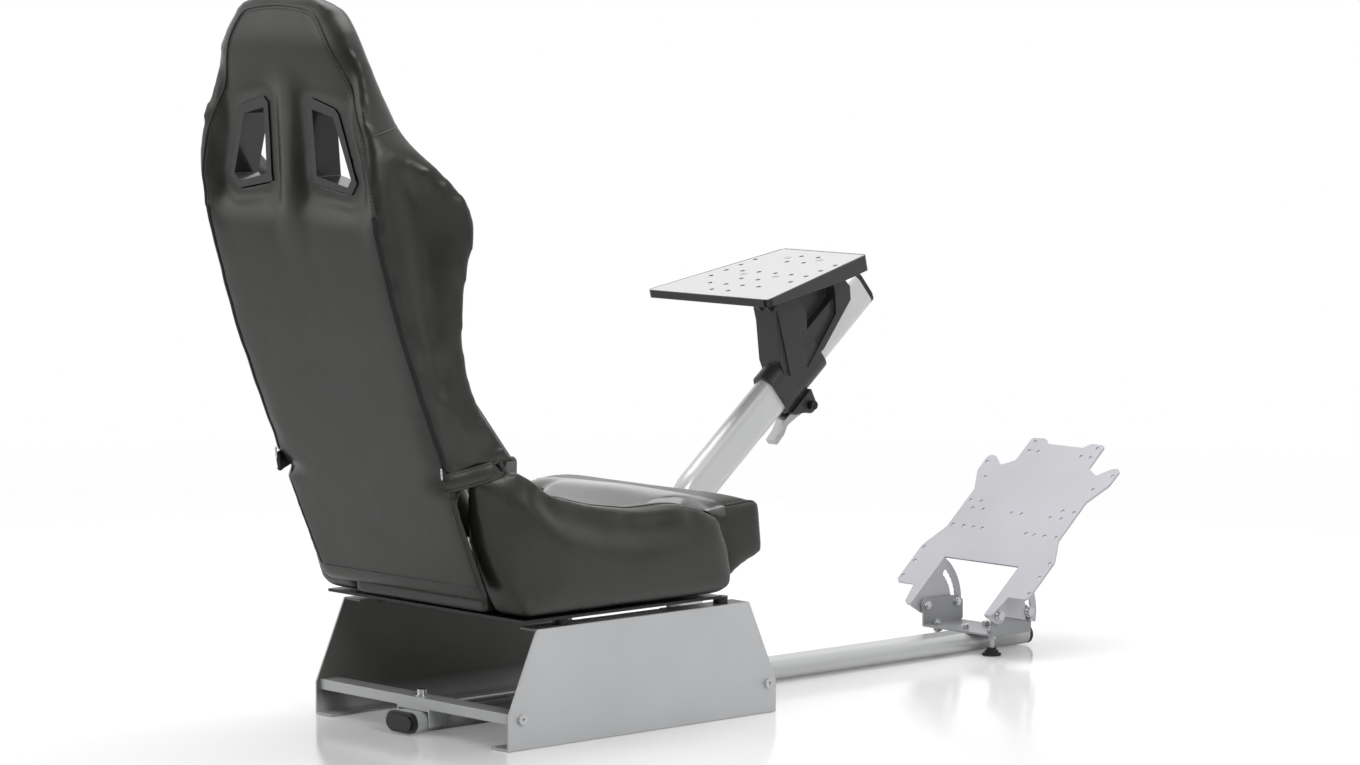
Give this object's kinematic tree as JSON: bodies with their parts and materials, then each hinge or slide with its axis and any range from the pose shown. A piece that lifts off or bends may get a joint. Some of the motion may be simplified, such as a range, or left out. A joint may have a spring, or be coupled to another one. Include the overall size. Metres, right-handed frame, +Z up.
{
  "type": "sim racing cockpit",
  "caption": "Racing-game cockpit: bucket seat on folded steel side plates, sliding column with wheel deck and clamp lever, and a tilting pedal plate on a sliding floor tube.",
  "frame": {"origin": "centre of the base between the side plates, at floor level", "axes": "+X forward, the way the driver faces; +Y to the driver's left; +Z up"},
  "size_m": [1.4923, 0.464, 0.98],
  "materials": {
    "frame_steel": "satin",
    "column_paint": "satin",
    "deck_paint": "gloss",
    "pedal_paint": "satin",
    "bright_steel": "polished",
    "black_steel": "satin",
    "cast_alloy": "satin",
    "seat_cover": "satin",
    "zip_tape": "matte",
    "black_plastic": "satin",
    "foot_rubber": "matte"
  },
  "bodies": {
    "base": {"side_plate_right": "frame_steel", "side_plate_left": "frame_steel", "rear_crossbar": "frame_steel", "front_crossbar": "frame_steel", "crossbar_bolts": "bright_steel", "tube_guides": "frame_steel", "clamp_screws": "bright_steel", "column_foot": "frame_steel", "column_tube": "column_paint", "column_bolts": "bright_steel", "column_cap": "black_plastic", "seat_spacers": "bright_steel", "seat_pan": "black_steel", "seat_cushion": "seat_cover", "seat_bolster_right": "seat_cover", "seat_bolster_left": "seat_cover", "seat_hinge_plates": "black_steel"},
    "backrest": {"back_hinge_arms": "black_steel", "back_shell": "seat_cover", "back_pad": "seat_cover", "head_pad": "seat_cover", "back_bolster_right": "seat_cover", "back_bolster_left": "seat_cover", "harness_bezel_right": "black_plastic", "harness_bezel_left": "black_plastic", "back_zip": "zip_tape"},
    "deck": {"deck_bracket": "black_plastic", "wheel_deck": "deck_paint", "deck_screws": "bright_steel", "clamp_bolt": "black_steel"},
    "lever": {"clamp_lever": "cast_alloy"},
    "pedal_frame": {"pedal_tube": "frame_steel", "tube_caps": "black_plastic", "pedal_bracket": "frame_steel", "bracket_bolts": "bright_steel", "foot_right": "foot_rubber", "foot_left": "foot_rubber", "pivot_bolts": "bright_steel", "lock_bolts": "bright_steel"},
    "pedals": {"pedal_plate": "pedal_paint"}
  },
  "joints": [
    {"name": "back_fold", "type": "hinge", "parent": "base", "child": "backrest", "pos_m": [-0.216, 0, 0.375], "axis": [0, 1, 0], "range_deg": [0, 70]},
    {"name": "deck_slide", "type": "slide", "parent": "base", "child": "deck", "axis": [0.7683, 0, 0.6401], "range_m": [-0.1, 0.1]},
    {"name": "lever_swing", "type": "hinge", "parent": "deck", "child": "lever", "pos_m": [0.47675, 0, 0.39095], "axis": [0, -1, 0], "range_deg": [0, 90]},
    {"name": "pedal_slide", "type": "slide", "parent": "base", "child": "pedal_frame", "axis": [1, 0, 0], "range_m": [-0.15, 0.01]},
    {"name": "pedal_tilt", "type": "hinge", "parent": "pedal_frame", "child": "pedals", "pos_m": [0.8055, 0, 0.062], "axis": [0, 1, 0], "range_deg": [-12, 36]}
  ]
}
